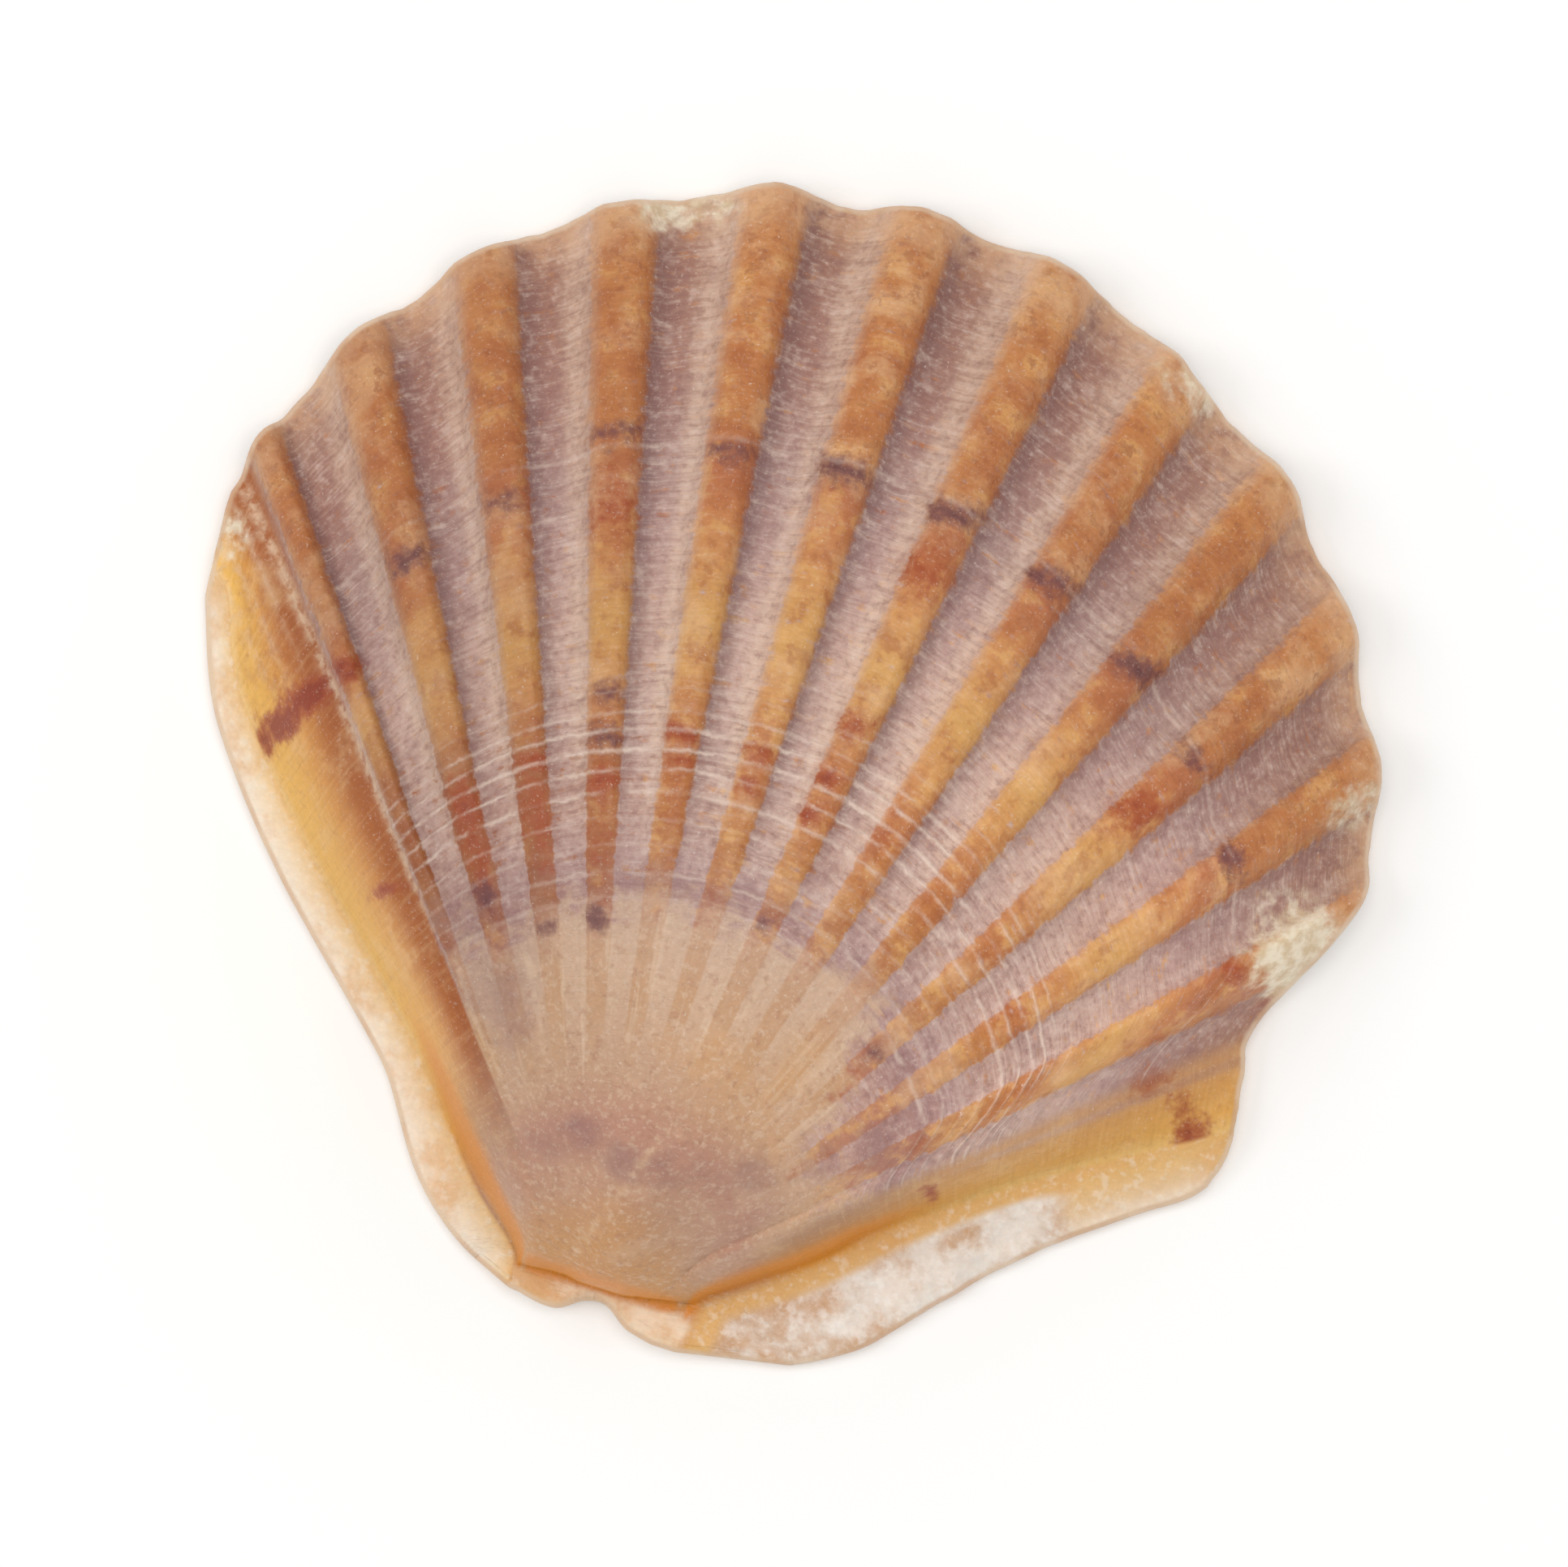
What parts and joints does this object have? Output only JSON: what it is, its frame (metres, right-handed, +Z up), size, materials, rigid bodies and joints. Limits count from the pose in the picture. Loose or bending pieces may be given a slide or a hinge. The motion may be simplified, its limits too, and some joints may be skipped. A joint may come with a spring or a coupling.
{
  "type": "scallop shell valve",
  "caption": "Beach-worn valve of a scallop, convex side up, with rounded ribs fanning from a smooth beak to a scalloped margin.",
  "frame": {"origin": "centre of the resting footprint, on the surface that the valve lies on", "axes": "+Z up through the top of the dome, +Y from the beak towards the round margin, hinge line along X"},
  "size_m": [0.047, 0.0458, 0.0135],
  "materials": {
    "shell": "satin"
  },
  "bodies": {
    "root": {"scallop_valve": "shell"}
  },
  "joints": []
}
